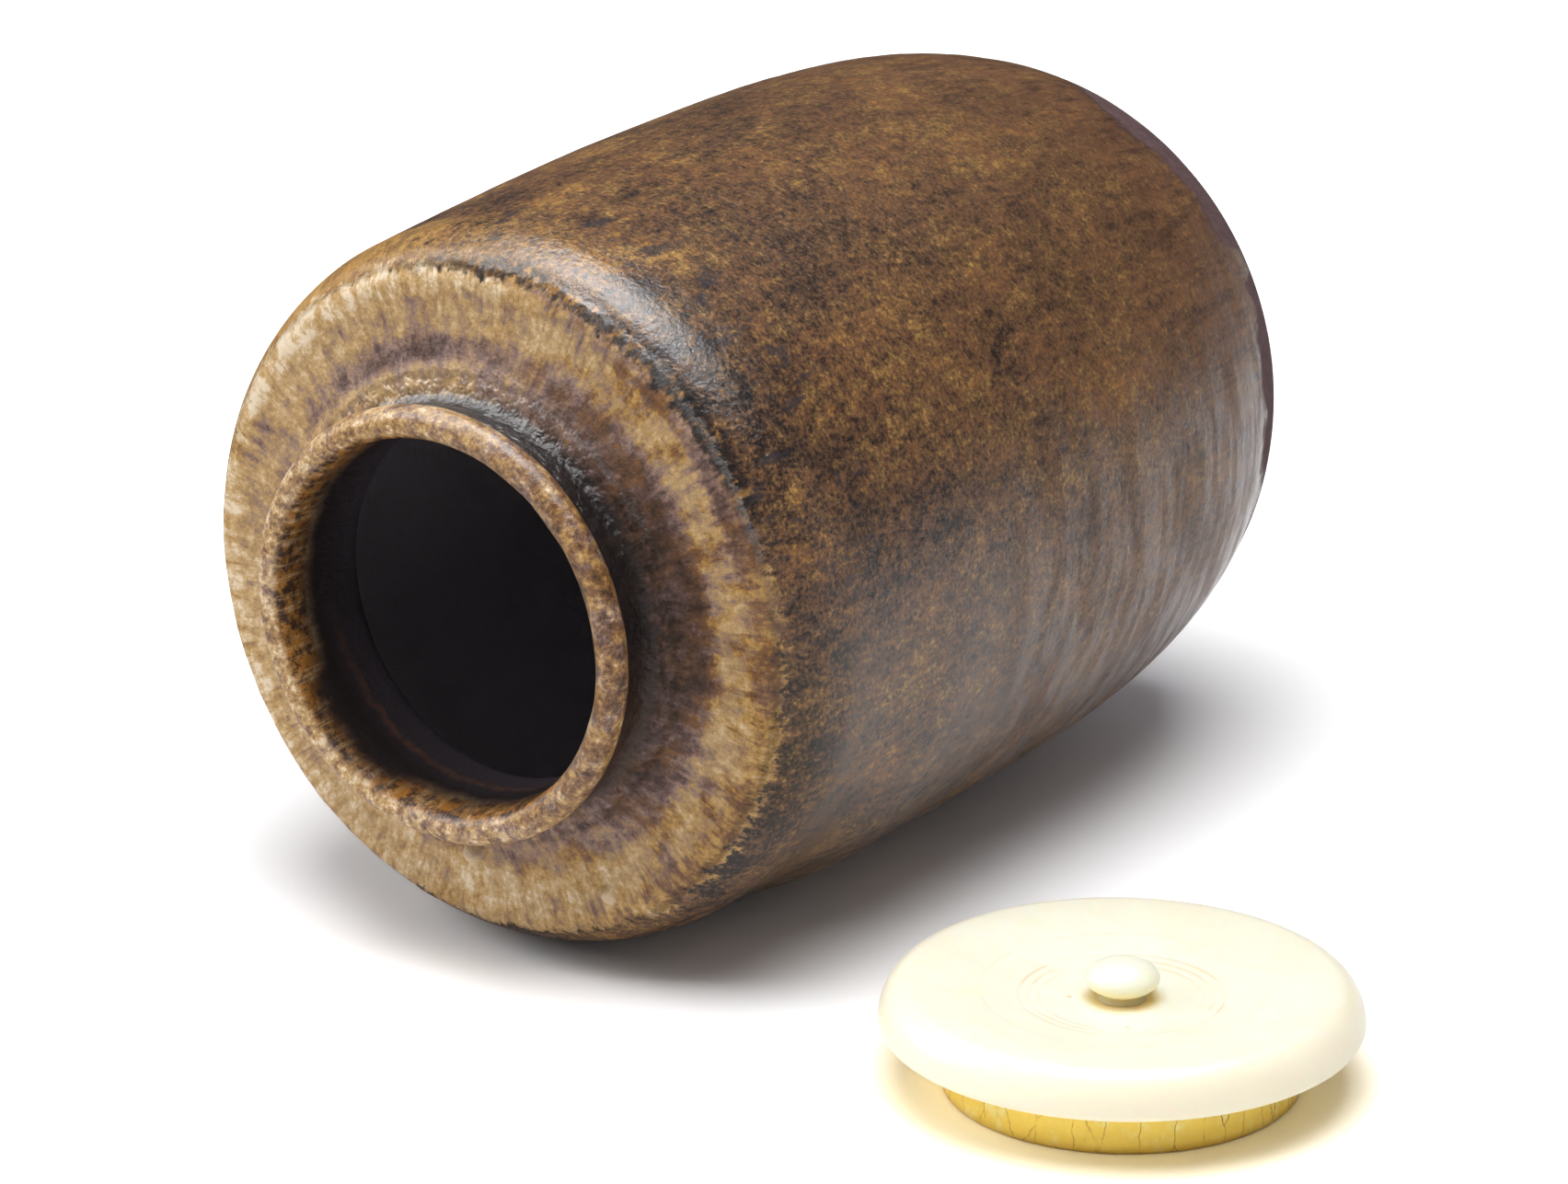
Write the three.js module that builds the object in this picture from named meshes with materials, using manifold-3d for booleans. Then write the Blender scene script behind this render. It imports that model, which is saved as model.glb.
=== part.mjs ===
// Small stoneware tea caddy lying on its side, with its turned ivory lid taken off and standing beside it.
// Millimetres, +Z up. The table is at z = 0, the jar's mouth faces -Y, and the lid stands on the +X side.
// The origin is on the table, under the middle of the whole arrangement.
import Module from 'manifold-3d';
import * as THREE from 'three';
import { mergeVertices } from 'three/addons/utils/BufferGeometryUtils.js';

// Jar, outside. Heights add up along the jar's own axis, from the foot to the lip.
const footRadius = 18.3;
const bellyRadius = 30.4; // the widest stretch, on which the jar lies
const waistRadius = 29.2;
const shoulderRadius = 29.45;
const crestRadius = 25.9; // where the shoulder turns over toward the neck
const neckRadius = 16.9;
const lipRadius = 17.8;
const lowerWallHeight = 33; // foot to belly
const bellyLength = 26;
const waistRise = 10; // belly to waist
const shoulderRise = 6; // waist to shoulder ring
const shoulderDrop = 7.2; // shoulder ring to crest
const collarRise = 1.5; // crest to the root of the neck
const neckLength = 3.1;
const lipHeight = 2.9;
const coveRadius = 1.3; // hollow curve where the shoulder meets the neck
const shoulderSag = 0.45; // how far the shoulder's slope is hollowed
const wallFullness = 2; // powers that give the lower wall its curve
const wallTaper = 0.8;
const pointCrowding = 1.6; // points lie closer together near the foot
const restFlatDepth = 0.3; // the jar is not quite round, and lies still on its flattest side

// Jar, inside
const wallThickness = 3;
const floorThickness = 4.5;
const shoulderThickness = 3;
const throatRadius = 14.8;
const throatRound = 1.6; // curve under the throat, inside
const innerShoulderRound = 7; // curve from the inner wall to the underside of the shoulder
const mouthRadius = 15.2; // inner edge of the lip

// Lid
const lidOverhang = 0.9; // lid beyond the lip, all round
const mouthClearance = 1.3; // mouth to the gold-covered boss
const linerThickness = 0.4;
const linerEdge = 0.25; // rounding of the lining's lower edge
const liningFit = 0.3; // lining to the ivory that it covers
const bossHeight = 4.5; // from the table to the underside of the disc
const rimUnderHeight = 0.75; // underside of the disc to its widest line
const rimUnderWidth = 1.4;
const rimTopHeight = 3.05; // widest line to the crest of the rim
const rimTopWidth = 1.5;
const dishDepth = 1.35; // crest of the rim to the hollow middle
const dishFloorRadius = 4; // level middle of the hollow, round the knob

// Knob
const knobRadius = 2.9;
const knobHalfHeight = 1.4;
const stemRadius = 1.7;
const stemLength = 0.6; // middle of the hollow to the knob's underside at the stem
const pegRadius = 1.1;
const pegDepth = 2;
const pegFit = 0.3; // peg and stem to the disc

// Where the lid stands
const lidGap = 4.4; // belly to the lid's edge
const lidBehindMouth = 17.1; // mouth to the lid's middle

const jarFacets = 60; // a multiple of 4, turned so that a facet faces the table
const lidFacets = 64;
const knobFacets = 32;

const lidRadius = lipRadius + lidOverhang;
const liningRadius = mouthRadius - mouthClearance;
const bellyTop = lowerWallHeight + bellyLength;
const waistHeight = bellyTop + waistRise;
const shoulderHeight = waistHeight + shoulderRise;
const crestHeight = shoulderHeight + shoulderDrop;
const collarHeight = crestHeight + collarRise;
const neckTop = collarHeight + neckLength;
const jarHeight = neckTop + lipHeight;
const jarAxisHeight = bellyRadius - restFlatDepth;
const bellyHalfWidth = bellyRadius * Math.cos(Math.PI / jarFacets);

const stoneware = new THREE.MeshStandardMaterial({ color: 0x6b4524, roughness: 0.3, metalness: 0 });
const ivory = new THREE.MeshStandardMaterial({ color: 0xf0e6cc, roughness: 0.35, metalness: 0 });
const goldLeaf = new THREE.MeshStandardMaterial({ color: 0xcf9f3a, roughness: 0.4, metalness: 0.8 });

const wasm = await Module();
wasm.setup();

const point = (radius, height) => new THREE.Vector2(radius, height);

// Points of an ellipse's arc, from one angle to another, in degrees from the outward direction.
function arc(centreRadius, centreHeight, across, along, fromDegrees, toDegrees, steps) {
  const from = THREE.MathUtils.degToRad(fromDegrees);
  const to = THREE.MathUtils.degToRad(toDegrees);
  const ellipse = new THREE.EllipseCurve(centreRadius, centreHeight, across, along, from, to, to < from);
  return ellipse.getPoints(steps);
}

// Points of a wall that swells from one radius to another: steep at first, then upright.
function swell(fromRadius, fromHeight, toRadius, toHeight, steps) {
  return Array.from({ length: steps + 1 }, (_, step) => {
    const share = (step / steps) ** pointCrowding;
    const fullness = (1 - (1 - share) ** wallFullness) ** wallTaper;
    return point(
      THREE.MathUtils.lerp(fromRadius, toRadius, fullness),
      THREE.MathUtils.lerp(fromHeight, toHeight, share),
    );
  });
}

// Points of a wall that eases from one radius to another, upright at both ends.
function ease(fromRadius, fromHeight, toRadius, toHeight, steps) {
  return Array.from({ length: steps + 1 }, (_, step) => {
    const share = step / steps;
    return point(
      THREE.MathUtils.lerp(fromRadius, toRadius, THREE.MathUtils.smoothstep(share, 0, 1)),
      THREE.MathUtils.lerp(fromHeight, toHeight, share),
    );
  });
}

// The shoulder's slope from the crest in to the neck's cove, hollowed a little in the middle.
function shoulderSlope(steps) {
  const innerRadius = neckRadius + coveRadius;
  return Array.from({ length: steps + 1 }, (_, step) => {
    const share = step / steps;
    const sag = shoulderSag * Math.sin(Math.PI * share);
    return point(
      THREE.MathUtils.lerp(crestRadius, innerRadius, share),
      THREE.MathUtils.lerp(crestHeight, collarHeight, share) - sag,
    );
  });
}

// Drops each point that repeats the one before it.
function withoutRepeats(points) {
  const nearest = jarHeight / 1e6;
  return points.filter((place, index) => index === 0 || place.distanceTo(points[index - 1]) > nearest);
}

function named(name, geometry, material) {
  const mesh = new THREE.Mesh(geometry, material);
  mesh.name = name;
  return mesh;
}

function lathe(name, points, facets, material) {
  return named(name, new THREE.LatheGeometry(withoutRepeats(points), facets), material);
}

// A closed geometry as a solid that can be cut, without the empty triangles at a lathe's axis.
function toSolid(geometry) {
  const bare = geometry.clone();
  bare.deleteAttribute('normal');
  bare.deleteAttribute('uv');
  const merged = mergeVertices(bare);
  const triangles = [];
  for (let corner = 0; corner < merged.index.count; corner += 3) {
    const [a, b, c] = merged.index.array.subarray(corner, corner + 3);
    if (a !== b && b !== c && c !== a) triangles.push(a, b, c);
  }
  const vertProperties = new Float32Array(merged.attributes.position.array);
  const triVerts = new Uint32Array(triangles);
  return new wasm.Manifold(new wasm.Mesh({ numProp: 3, vertProperties, triVerts }));
}

function toGeometry(solid) {
  const cut = solid.getMesh();
  const geometry = new THREE.BufferGeometry();
  geometry.setAttribute('position', new THREE.BufferAttribute(cut.vertProperties, cut.numProp));
  geometry.setIndex(new THREE.BufferAttribute(cut.triVerts, 1));
  return geometry;
}

function jarOutside() {
  return [
    point(0, 0),
    ...swell(footRadius, 0, bellyRadius, lowerWallHeight, 10),
    ...ease(bellyRadius, bellyTop, waistRadius, waistHeight, 4),
    ...ease(waistRadius, waistHeight, shoulderRadius, shoulderHeight, 2),
    ...arc(crestRadius, shoulderHeight, shoulderRadius - crestRadius, shoulderDrop, 0, 90, 6),
    ...shoulderSlope(5),
    ...arc(neckRadius + coveRadius, collarHeight + coveRadius, coveRadius, coveRadius, -90, -180, 3),
  ];
}

// The rolled lip: out from the neck, over the top and back in to the mouth.
function lip() {
  const lipMiddle = neckTop + lipHeight / 2;
  const halfWidth = (lipRadius - mouthRadius) / 2;
  return arc(mouthRadius + halfWidth, lipMiddle, halfWidth, lipHeight / 2, -65, 180, 8);
}

function jarInside() {
  const innerBelly = bellyRadius - wallThickness;
  const innerWaist = waistRadius - wallThickness;
  const ceiling = crestHeight - shoulderThickness;
  const corner = Math.min(innerShoulderRound, ceiling - waistHeight);
  return [
    point(throatRadius, collarHeight),
    ...arc(throatRadius + throatRound, ceiling + throatRound, throatRound, throatRound, 180, 270, 3),
    ...arc(innerWaist - corner, ceiling - corner, corner, corner, 90, 0, 5),
    ...ease(innerWaist, waistHeight, innerBelly, bellyTop, 3),
    ...swell(footRadius - wallThickness, floorThickness, innerBelly, lowerWallHeight, 8).reverse(),
    point(0, floorThickness),
  ];
}

function makeJar() {
  const profile = withoutRepeats([...jarOutside(), ...lip(), ...jarInside()]);
  const turned = new THREE.LatheGeometry(profile, jarFacets);
  turned.rotateY(Math.PI / jarFacets);
  // What would reach below the table is cut away, which leaves the flat on which the jar lies.
  const below = new THREE.BoxGeometry(2 * bellyRadius, 2 * jarHeight, bellyRadius);
  below.translate(0, jarHeight / 2, -jarAxisHeight - bellyRadius / 2);
  const jar = named('jar_body', toGeometry(toSolid(turned).subtract(toSolid(below))), stoneware);
  // The lathe's axis is turned to -Y.
  jar.rotation.z = Math.PI;
  jar.position.z = jarAxisHeight;
  return jar;
}

const bossRadius = liningRadius - linerThickness - liningFit;
const bossBottom = linerThickness + liningFit;
const rimHeight = bossHeight + rimUnderHeight;
const rimCrest = rimHeight + rimTopHeight;
const dishBottom = rimCrest - dishDepth;
const rimCrestRadius = lidRadius - rimTopWidth;

function makeDisc() {
  const socketRadius = pegRadius + pegFit;
  const socketBottom = dishBottom - pegDepth - pegFit;
  const rimUnderRadius = lidRadius - rimUnderWidth;
  const profile = [
    point(0, bossBottom),
    point(bossRadius, bossBottom),
    point(bossRadius, bossHeight),
    ...arc(rimUnderRadius, rimHeight, rimUnderWidth, rimUnderHeight, -90, 0, 4),
    ...arc(rimCrestRadius, rimHeight, rimTopWidth, rimTopHeight, 0, 90, 6),
    ...dishSurface(6),
    point(socketRadius, dishBottom),
    point(socketRadius, socketBottom),
    point(0, socketBottom),
  ];
  return lathe('lid_disc', profile, lidFacets, ivory);
}

// The lid's hollowed top: level at the rim's crest and again round the knob.
function dishSurface(steps) {
  return Array.from({ length: steps + 1 }, (_, step) => {
    const share = step / steps;
    return point(
      THREE.MathUtils.lerp(rimCrestRadius, dishFloorRadius, share),
      THREE.MathUtils.lerp(rimCrest, dishBottom, THREE.MathUtils.smoothstep(share, 0, 1)),
    );
  });
}

function makeLining() {
  const top = bossHeight - liningFit;
  const innerRadius = liningRadius - linerThickness;
  const profile = [
    point(0, 0),
    ...arc(liningRadius - linerEdge, linerEdge, linerEdge, linerEdge, -90, 0, 2),
    point(liningRadius, top),
    point(innerRadius, top),
    point(innerRadius, linerThickness),
    point(0, linerThickness),
  ];
  return lathe('lid_lining', profile, lidFacets, goldLeaf);
}

function makeKnob() {
  // The button is an ellipse of revolution that the stem enters from below.
  const stemDegrees = THREE.MathUtils.radToDeg(Math.acos(stemRadius / knobRadius));
  const stemTop = dishBottom + stemLength;
  const middle = stemTop + knobHalfHeight * Math.sin(THREE.MathUtils.degToRad(stemDegrees));
  const profile = [
    point(0, dishBottom - pegDepth),
    point(pegRadius, dishBottom - pegDepth),
    point(pegRadius, dishBottom + pegFit),
    point(stemRadius, dishBottom + pegFit),
    ...arc(0, middle, knobRadius, knobHalfHeight, -stemDegrees, 90, 12),
  ];
  return lathe('lid_knob', profile, knobFacets, ivory);
}

function makeLid() {
  const lid = new THREE.Group();
  lid.add(makeDisc(), makeLining(), makeKnob());
  lid.rotation.x = Math.PI / 2;
  const mouthPlace = -jarHeight;
  lid.position.set(bellyHalfWidth + lidGap + lidRadius, mouthPlace + lidBehindMouth, 0);
  return lid;
}

// Stands the arrangement on the table, with the origin under its middle.
function centreOnTable(arrangement) {
  const box = new THREE.Box3().setFromObject(arrangement, true);
  const middle = box.getCenter(new THREE.Vector3());
  arrangement.position.set(-middle.x, -middle.y, -box.min.z);
  return arrangement;
}

const arrangement = new THREE.Group();
arrangement.add(makeJar(), makeLid());
const caddy = new THREE.Group();
caddy.add(centreOnTable(arrangement));

export default caddy;
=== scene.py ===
"""A glazed stoneware tea caddy lying on its side, and its turned ivory lid standing beside it.

Each visible piece is a surface of revolution worked out with numpy over the fixed frame of the part.
Lengths in the settings are metres. The shaders work in millimetres, on the attribute `flow`, which holds
the place round the jar or lid and the distance along its outline, and on Object coordinates.
"""
import math

import bpy
import numpy as np
from bpy.props import FloatProperty, FloatVectorProperty, IntProperty, PointerProperty
from mathutils import Matrix, Vector


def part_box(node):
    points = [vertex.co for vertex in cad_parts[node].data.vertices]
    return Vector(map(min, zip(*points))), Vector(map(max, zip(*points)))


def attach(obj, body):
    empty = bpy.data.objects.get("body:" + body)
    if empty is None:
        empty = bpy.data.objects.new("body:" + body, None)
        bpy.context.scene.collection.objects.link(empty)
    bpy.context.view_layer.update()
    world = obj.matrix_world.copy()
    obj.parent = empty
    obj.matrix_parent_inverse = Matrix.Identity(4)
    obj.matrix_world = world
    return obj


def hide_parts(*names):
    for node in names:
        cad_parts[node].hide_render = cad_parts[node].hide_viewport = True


bl_info = {
    "name": "Tea Caddy",
    "version": (1, 0, 0),
    "blender": (4, 5, 0),
    "location": "View3D > Sidebar > Tea Caddy",
    "description": "Dresses the frame of a stoneware tea caddy with its glaze, its ivory lid and a stage",
    "category": "Add Mesh",
}

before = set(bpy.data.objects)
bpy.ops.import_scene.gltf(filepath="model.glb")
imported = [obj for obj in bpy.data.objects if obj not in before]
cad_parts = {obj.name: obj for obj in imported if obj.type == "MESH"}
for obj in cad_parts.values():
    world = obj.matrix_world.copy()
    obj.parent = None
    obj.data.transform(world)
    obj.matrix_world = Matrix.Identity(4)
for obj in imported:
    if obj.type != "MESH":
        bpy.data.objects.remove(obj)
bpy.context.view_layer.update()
PHOTO_WIDTH = 1704
MM = 0.001
POLE = 0.0005  # radius at which an outline of the lid starts or ends, next to its axis
ROLL_BACK = 1.2  # from the end of the corner back to the rolled edge of the glaze, in millimetres
SEAT_GAP = 0.00003  # between the disc and the knob's stem

JAR_LOW, JAR_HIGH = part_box("jar_body")
DISC_LOW, DISC_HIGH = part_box("lid_disc")
KNOB_LOW, KNOB_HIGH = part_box("lid_knob")
LINING_LOW, LINING_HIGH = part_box("lid_lining")
JAR_RADIUS = (JAR_HIGH.x - JAR_LOW.x) / 2
JAR_AXIS = Vector(((JAR_LOW.x + JAR_HIGH.x) / 2, JAR_HIGH.y, JAR_HIGH.z - JAR_RADIUS))
LID_AXIS = Vector(((DISC_LOW.x + DISC_HIGH.x) / 2, (DISC_LOW.y + DISC_HIGH.y) / 2, 0))


def linear(red, green, blue):
    """The linear colour, with alpha, of an sRGB colour given from 0 to 255."""
    shares = [value / 255 for value in (red, green, blue)]
    return tuple(s / 12.92 if s <= 0.04045 else ((s + 0.055) / 1.055) ** 2.4 for s in shares) + (1.0,)


def size(label, description, metres):
    """A length that can be set, in metres."""
    return FloatProperty(name=label, description=description, default=metres, min=0, unit="LENGTH", precision=5)


def share(label, description, value, high=1.0):
    """A plain factor that can be set."""
    return FloatProperty(name=label, description=description, default=value, min=0, max=high)


def count(label, description, value):
    """A number of rows or columns of a grid."""
    return IntProperty(name=label, description=description, default=value, min=3)


def angle(label, description, degrees):
    """An angle that can be set."""
    return FloatProperty(name=label, description=description, default=math.radians(degrees), subtype="ANGLE")


def colour(label, description, red, green, blue):
    """A colour that can be set, from its sRGB values from 0 to 255."""
    return FloatVectorProperty(name=label, description=description, default=linear(red, green, blue),
                               size=4, min=0, max=1, subtype="COLOR")


def power(label, description, watts):
    """The radiant power of a lamp that can be set."""
    return FloatProperty(name=label, description=description, default=watts, min=0, unit="POWER")


class JarSizes(bpy.types.PropertyGroup):
    """Sizes of the jar, along its own axis from the foot to the lip."""

    belly: size("Belly radius", "Radius of the widest stretch", JAR_RADIUS)
    foot: size("Foot radius", "Radius of the flat foot", 0.0185)
    wall_reach: size("Wall reach", "Height over which the lower wall swells out", 0.00966)
    wall_power: share("Wall power", "How late the lower wall swells out", 1.12, 3.0)
    foot_round: size("Foot rounding", "Rounding of the foot's edge", 0.0006)
    waist: size("Waist radius", "Radius of the slight waist under the shoulder", 0.0292)
    shoulder: size("Shoulder radius", "Radius of the shoulder ring", 0.02942)
    crest: size("Crest radius", "Radius where the shoulder turns over toward the neck", 0.0256)
    neck: size("Neck radius", "Radius of the neck", 0.0169)
    lip: size("Lip radius", "Outer radius of the rolled lip", 0.0178)
    mouth: size("Mouth radius", "Inner radius of the lip", 0.0152)
    throat: size("Throat radius", "Inner radius of the neck", 0.0148)
    lower_wall: size("Lower wall", "Height from the foot to the belly", 0.033)
    belly_length: size("Belly length", "Length of the widest stretch", 0.026)
    waist_rise: size("Waist rise", "Length from the belly to the waist", 0.010)
    shoulder_rise: size("Shoulder rise", "Length from the waist to the shoulder ring", 0.006)
    shoulder_drop: size("Shoulder drop", "Length from the shoulder ring to the crest", 0.0072)
    collar_rise: size("Collar rise", "Length from the crest to the root of the neck", 0.0015)
    neck_length: size("Neck length", "Length of the neck", 0.0031)
    lip_height: size("Lip height", "Height of the rolled lip", 0.0029)
    cove: size("Cove radius", "Hollow curve where the shoulder meets the neck", 0.0013)
    sag: size("Shoulder sag", "How far the shoulder's slope is hollowed", 0.00045)
    wall: size("Wall", "Thickness of the wall", 0.003)
    floor: size("Floor", "Thickness of the floor", 0.0045)
    ceiling: size("Ceiling", "Thickness of the shoulder", 0.003)
    throat_round: size("Throat rounding", "Curve under the throat, inside", 0.0016)
    inner_round: size("Inner shoulder rounding", "Curve from the inner wall to the shoulder", 0.007)
    wobble: size("Unevenness", "How far the thrown wall strays from round", 0.00010)
    ridge: size("Throwing ridges", "Height of the soft rings left by throwing", 0.00004)
    heel: size("Heel", "How far the wall swells out over the foot", 0.00022)
    lean: size("Waist lean", "How far the waist stands out low on the lid's side", 0.00034)
    bow: size("Bow", "How far the wall bows out from belly to shoulder on its top and toward the camera", 0.00038)
    glaze_roll: size("Glaze roll", "Height of the rolled glaze at the crest", 0.00018)
    columns: count("Columns", "Points round the jar", 320)


class GlazeColours(bpy.types.PropertyGroup):
    """Colours of the jar, from the foot to the inside."""

    clay: colour("Bare clay", "Unglazed clay round the foot", 104, 82, 84)
    rust: colour("Rust", "Thin glaze over the foot", 118, 80, 56)
    black: colour("Black", "Pooled glaze on the neck and in the gaps", 30, 26, 26)
    umber: colour("Umber", "Dark grains of the body", 56, 42, 33)
    brown: colour("Brown", "The body's main brown", 100, 71, 51)
    amber_brown: colour("Amber brown", "Warm grains of the body", 125, 88, 54)
    ochre: colour("Ochre", "Lightest warm grains", 174, 128, 64)
    amber: colour("Amber", "Thin glaze at the inner edge of the lip", 156, 104, 44)
    olive: colour("Olive", "The body's greener brown", 102, 76, 50)
    gold: colour("Gold", "Lightest greener grains", 184, 144, 80)
    slate: colour("Slate", "Dark blue-grey patches", 52, 48, 52)
    dusk: colour("Dusk", "Dark glaze of the slope", 58, 43, 36)
    plum: colour("Plum", "Purple-brown grain of the slope", 97, 76, 72)
    mauve: colour("Mauve", "Middle tone of the slope", 143, 118, 107)
    straw: colour("Straw", "Golden grain of the slope", 178, 146, 101)
    tan: colour("Tan", "Light grain of the slope", 201, 172, 131)
    cream: colour("Cream", "Lightest grain of the slope", 226, 207, 178)
    inside: colour("Inside", "Glaze inside the mouth", 36, 30, 30)
    # Throat and hollow grow lighter deeper inside: painted light where little light reaches
    throat: colour("Throat", "Thin glaze under the neck, inside", 75, 69, 76)
    hollow: colour("Hollow", "Bare clay deep inside the jar", 166, 160, 166)


class LidSizes(bpy.types.PropertyGroup):
    """Sizes of the lid, its knob and its gold lining."""

    rim: size("Rim radius", "Radius of the disc", (DISC_HIGH.x - DISC_LOW.x) / 2)
    rim_top_width: size("Rim top width", "From the widest line in to the crest", 0.0023)
    rim_under_width: size("Rim under width", "From the widest line in to the flat underside", 0.0014)
    rim_under_height: size("Rim under height", "From the underside to the widest line", 0.00075)
    boss_height: size("Boss height", "From the table to the underside of the disc", 0.0045)
    crest_height: size("Crest height", "Height of the rim's crest over the table", DISC_HIGH.z)
    dish_depth: size("Dish depth", "From the crest to the hollow middle", 0.00135)
    dish_floor: size("Dish floor", "Radius of the level middle", 0.004)
    boss: size("Boss radius", "Radius of the ivory boss inside the lining", 0.0132)
    boss_bottom: size("Boss bottom", "Height of the boss's underside", DISC_LOW.z)
    ring_depth: size("Ring depth", "Depth of the fine turned rings", 0.00003)
    ring_width: size("Ring width", "Width of a fine turned ring", 0.00016)
    knob: size("Knob radius", "Radius of the button", (KNOB_HIGH.x - KNOB_LOW.x) / 2)
    knob_half: size("Knob half height", "Half the button's height", 0.0014)
    stem: size("Stem radius", "Radius of the stem at its narrowest", 0.00135)
    stem_flare: size("Stem flare", "How far the stem widens onto the disc", 0.0005)
    peg: size("Peg radius", "Radius of the peg in the disc", 0.0011)
    lining: size("Lining radius", "Outer radius of the gold paper", (LINING_HIGH.x - LINING_LOW.x) / 2)
    lining_top: size("Lining top", "Height of the gold paper", LINING_HIGH.z)
    paper: size("Paper", "Thickness of the gold paper", 0.0004)
    crease: size("Crease", "Depth of the creases in the gold paper", 0.00010)
    columns: count("Columns", "Points round the lid", 288)
    knob_columns: count("Knob columns", "Points round the knob", 128)


class LidColours(bpy.types.PropertyGroup):
    """Colours of the ivory and of the gold paper."""

    cream: colour("Cream", "Ground of the ivory", 243, 242, 224)
    honey: colour("Honey", "Older, yellower streaks of the ivory", 241, 233, 205)
    # Pinker ivory at the rim, partly its own colour and partly painted shade on the rim's side
    blush_and_rim_shade: colour("Blush", "Pinkish ivory at the rim", 244, 235, 213)
    # Painted light: amber that stands in for light passing through the ivory about the knob
    painted_amber_glow: colour("Glow", "Amber of the thin ivory about the knob's stem", 255, 230, 160)
    stain: colour("Stain", "Dirt in the turned rings", 214, 168, 84)
    gold: colour("Gold leaf", "Ground of the gold paper", 255, 226, 112)
    pale_gold: colour("Pale gold", "Worn places of the gold paper", 254, 240, 160)
    crease: colour("Crease", "Dark of the creases", 166, 106, 32)


class StageSettings(bpy.types.PropertyGroup):
    """The camera at the photograph's angle, the floor and the studio light."""

    azimuth: angle("Azimuth", "Direction of the camera, from straight in front toward the right", 35.80)
    elevation: angle("Elevation", "Height of the camera over the table, as an angle", 20.733)
    roll: angle("Roll", "Turn of the camera about its line of sight", 0.227)
    distance: size("Distance", "From the camera to the point that it looks at", 0.80536)
    target: FloatVectorProperty(name="Target", description="Point on the table behind the jar", size=3,
                                default=(-0.050407, 0.043663, 0), subtype="XYZ", unit="LENGTH")
    focal: FloatProperty(name="Focal length", description="In millimetres, on a sensor 36 mm wide",
                         default=10000 * 36 / PHOTO_WIDTH)
    floor_size: size("Floor size", "Width of the floor", 12.0)
    floor: colour("Floor", "Colour of the floor", 250, 250, 251)
    # Painted light: the warm glow that the ivory and gold throw on the floor under the lid is painted into its colour
    warm: colour("Warm floor", "Glow of the ivory and gold on the floor under the lid", 252, 238, 200)
    floor_lift: share("Floor lift", "How much lighter the camera sees the floor", 1.25, 2.0)
    painted_glow_share: share("Lid glow", "How much of the warm colour the floor takes under the lid", 0.65)
    overhead_distance: size("Overhead distance", "From the jar to the lamps overhead", 0.80)
    overhead_size: size("Overhead size", "Width of the lamp overhead that lights matt surfaces", 0.62)
    overhead_power: power("Overhead power", "Power of the lamp overhead that lights matt surfaces", 7.7)
    overhead_gloss_size: size("Overhead gloss size", "Width of the lamp overhead that shows in the gloss", 0.50)
    overhead_gloss: power("Overhead gloss", "Power of the lamp overhead that shows in the gloss", 16.96)
    side_distance: size("Side distance", "From the jar to the lamps at the left", 0.90)
    side_size: size("Side size", "Width of the lamps at the left", 0.50)
    side_power: power("Side power", "Power of the lamp at the left that lights matt surfaces", 3.6)
    side_gloss: power("Side gloss", "Power of the lamp at the left that shows in the gloss", 11.52)


def put(tree, kind, inputs=None, **settings):
    """A new node with its settings, and its inputs by name or number, each a Wire or a plain value."""
    node = tree.nodes.new(kind)
    number = len(tree.nodes)
    node.location = (number * 180, -160 * (number % 5))
    for key, value in settings.items():
        setattr(node, key, value)
    for key, value in (inputs or {}).items():
        if isinstance(value, Wire):
            tree.links.new(value.socket, node.inputs[key])
        else:
            node.inputs[key].default_value = value
    return node


def source(tree, kind, output, **settings):
    """An output of a new node that takes nothing in."""
    return Wire(tree, put(tree, kind, **settings).outputs[output])


def mix(amount, first, second):
    """A colour that goes from the first to the second, each a Wire or a plain colour."""
    tree = next(value.tree for value in (amount, first, second) if isinstance(value, Wire))
    first, second = (value if isinstance(value, Wire) else tuple(value) for value in (first, second))
    node = put(tree, "ShaderNodeMix", {0: amount, 6: first, 7: second}, data_type="RGBA", clamp_factor=True)
    return Wire(tree, node.outputs[2])


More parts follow.
